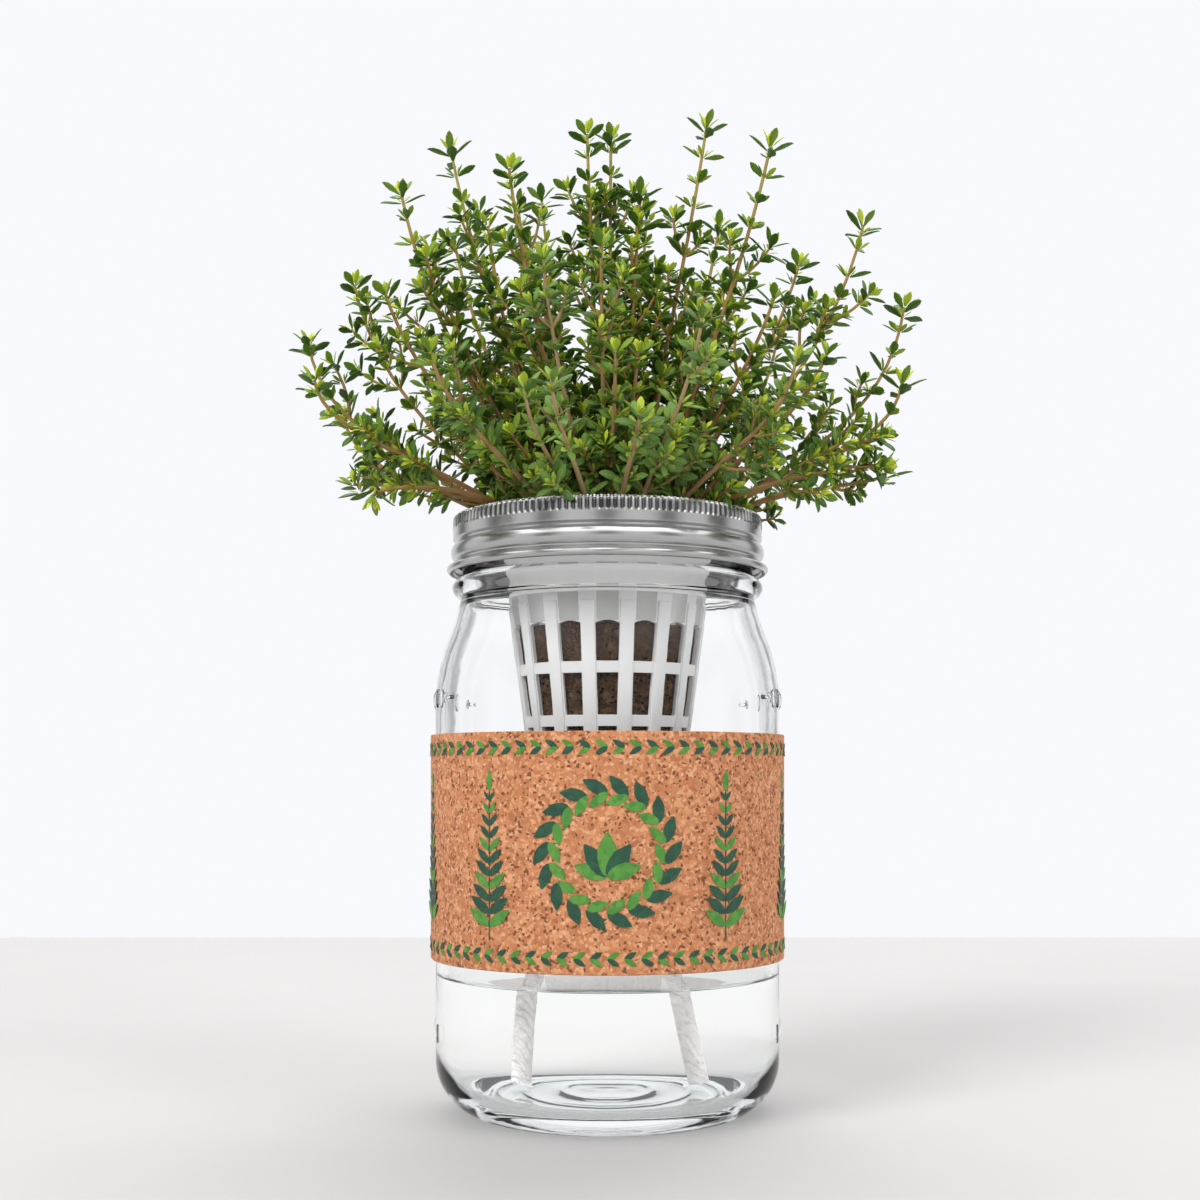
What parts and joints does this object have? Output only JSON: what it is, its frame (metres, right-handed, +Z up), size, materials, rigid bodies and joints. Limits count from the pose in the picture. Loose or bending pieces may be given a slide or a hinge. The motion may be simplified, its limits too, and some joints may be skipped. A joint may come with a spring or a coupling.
{
  "type": "hydroponic jar planter",
  "caption": "Wide mouth glass jar with a screw band, slotted net cup, grow plug, cotton wicks, cork sleeve and a thyme plant that grows out of the open lid.",
  "frame": {"origin": "centre of the jar's base, on the surface it stands on", "axes": "+Z up along the jar's axis, -Y towards the front, +X to the right"},
  "size_m": [0.1824, 0.1625, 0.2874],
  "materials": {
    "clear_glass": "polished",
    "brushed_steel_band": "satin",
    "white_plastic": "satin",
    "coir": "matte",
    "cork": "matte",
    "cotton": "matte",
    "thyme": "satin"
  },
  "bodies": {
    "jar": {"glass_jar": "clear_glass"},
    "sleeve": {"cork_sleeve": "cork"},
    "insert": {"net_cup": "white_plastic", "wick_left": "cotton", "wick_right": "cotton"},
    "band": {"screw_band": "brushed_steel_band"},
    "plant": {"grow_plug": "coir", "thyme_sprig_01": "thyme", "thyme_sprig_02": "thyme", "thyme_sprig_03": "thyme", "thyme_sprig_04": "thyme", "thyme_sprig_05": "thyme", "thyme_sprig_06": "thyme", "thyme_sprig_07": "thyme", "thyme_sprig_08": "thyme", "thyme_sprig_09": "thyme", "thyme_sprig_10": "thyme", "thyme_sprig_11": "thyme", "thyme_sprig_12": "thyme", "thyme_sprig_13": "thyme", "thyme_sprig_14": "thyme", "thyme_sprig_15": "thyme", "thyme_sprig_16": "thyme", "thyme_sprig_17": "thyme", "thyme_sprig_18": "thyme", "thyme_sprig_19": "thyme", "thyme_sprig_20": "thyme", "thyme_sprig_21": "thyme", "thyme_sprig_22": "thyme", "thyme_sprig_23": "thyme", "thyme_sprig_24": "thyme", "thyme_sprig_25": "thyme", "thyme_sprig_26": "thyme", "thyme_sprig_27": "thyme", "thyme_sprig_28": "thyme", "thyme_sprig_29": "thyme", "thyme_sprig_30": "thyme", "thyme_sprig_31": "thyme", "thyme_sprig_32": "thyme", "thyme_sprig_33": "thyme", "thyme_sprig_34": "thyme", "thyme_sprig_35": "thyme", "thyme_sprig_36": "thyme", "thyme_sprig_37": "thyme", "thyme_sprig_38": "thyme"}
  },
  "joints": [
    {"name": "sleeve_slide", "type": "slide", "parent": "jar", "child": "sleeve", "axis": [0, 0, 1], "range_m": [-0.017, 0.0065]},
    {"name": "insert_rise", "type": "slide", "parent": "jar", "child": "insert", "axis": [0, 0, 1], "range_m": [0, 0.00625]},
    {"name": "band_turn", "type": "hinge", "parent": "insert", "child": "band", "pos_m": [0, 0, 0.161], "axis": [0, 0, 1], "range_deg": [0, 451]},
    {"name": "plug_lift", "type": "slide", "parent": "insert", "child": "plant", "axis": [0, 0, 1], "range_m": [0, 0.075]}
  ],
  "couplings": [
    {"joint": "band_turn", "follows": "insert_rise", "rad_per_m": 1256.6}
  ]
}
